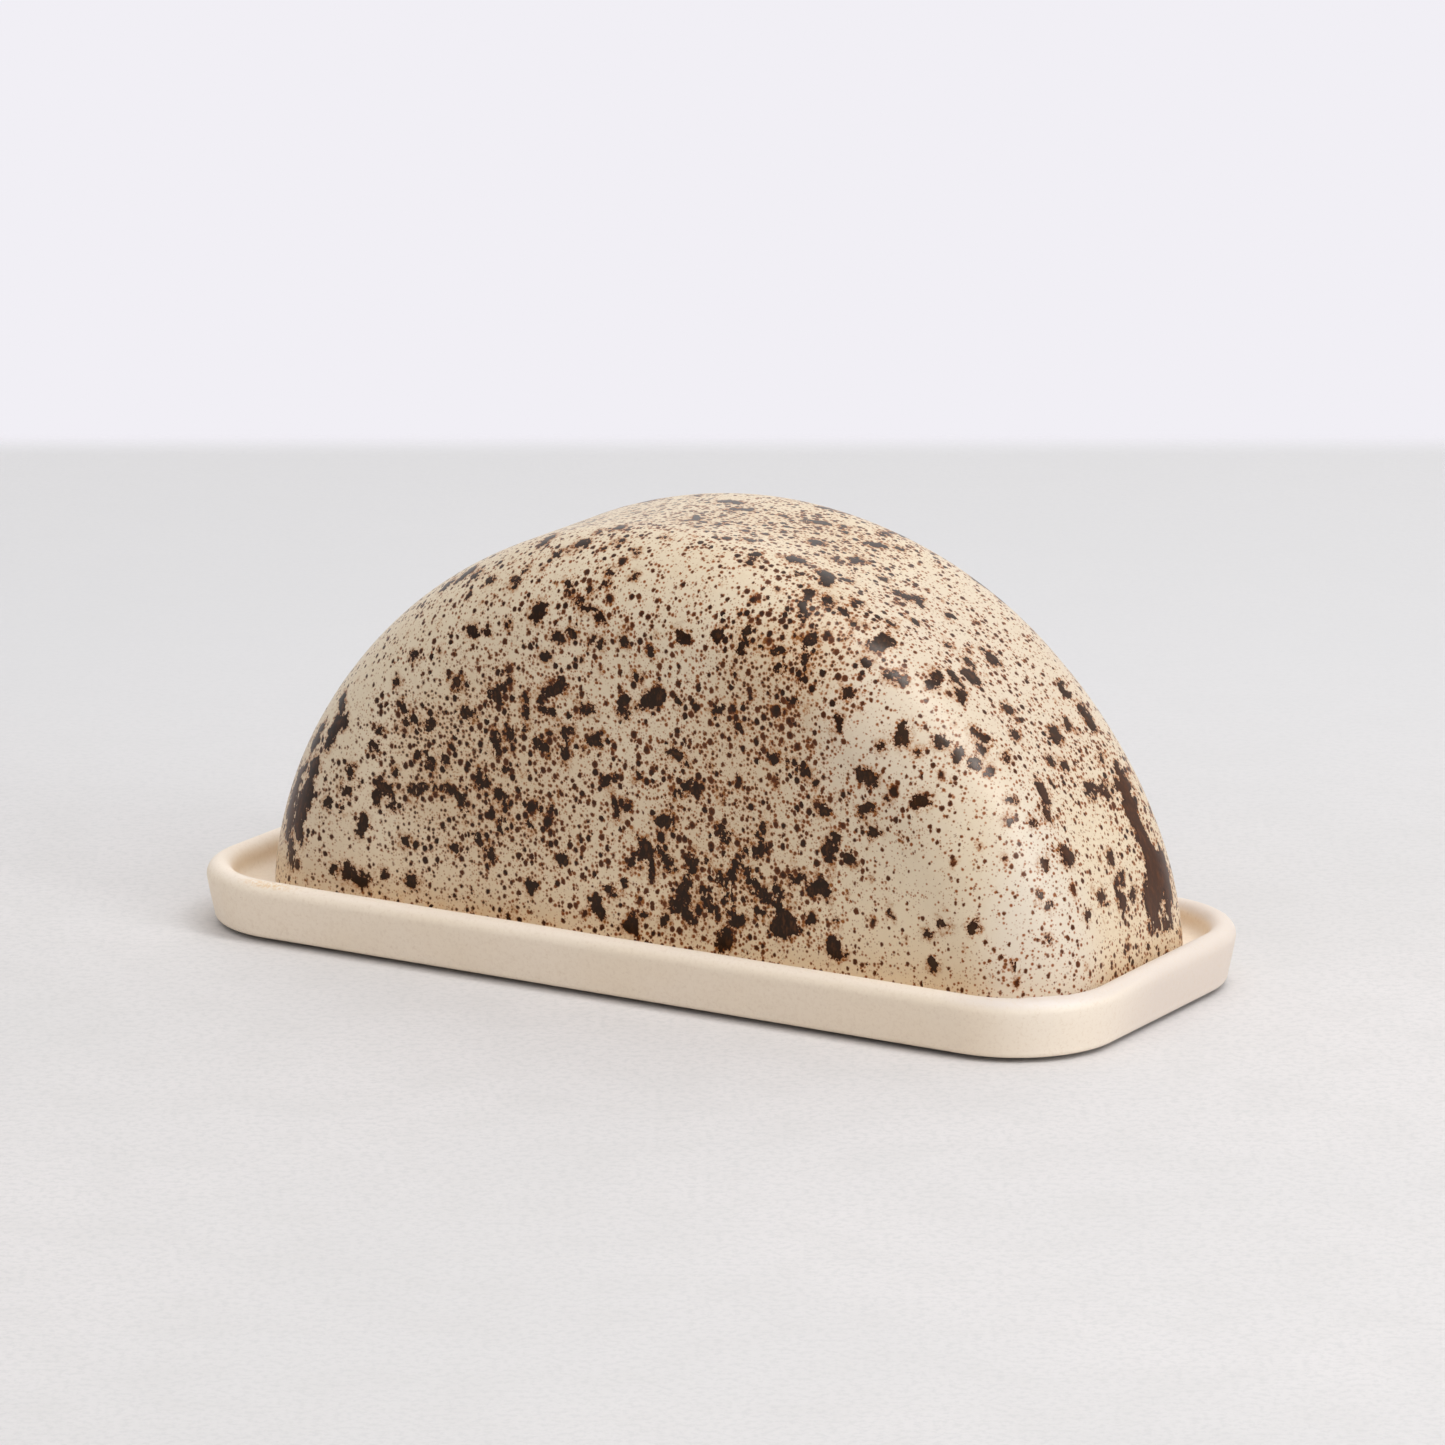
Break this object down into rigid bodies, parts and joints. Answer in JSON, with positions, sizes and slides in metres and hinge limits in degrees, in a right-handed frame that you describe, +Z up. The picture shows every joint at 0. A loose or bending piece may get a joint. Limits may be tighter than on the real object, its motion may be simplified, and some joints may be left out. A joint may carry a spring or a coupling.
{
  "type": "lidded butter dish",
  "caption": "Butter dish: a half-moon speckle-glazed cover that stands loose in the well of a long shallow ceramic tray.",
  "frame": {"origin": "centre of the tray's footprint, on the surface the foot ring stands on", "axes": "+X along the length, +Y across the dish, +Z up, the way the cover lifts"},
  "size_m": [0.21, 0.09, 0.0915],
  "materials": {
    "tray_clay": "matte cream stoneware with a thin satin wash",
    "cover_glaze": "satin-gloss cream glaze with dark brown iron speckle"
  },
  "bodies": {
    "tray": {"tray": "tray_clay"},
    "cover": {"cover": "cover_glaze"}
  },
  "joints": [
    {"name": "cover_lift", "type": "slide", "parent": "tray", "child": "cover", "axis": [0, 0, 1], "range_m": [0, 0.12]}
  ]
}
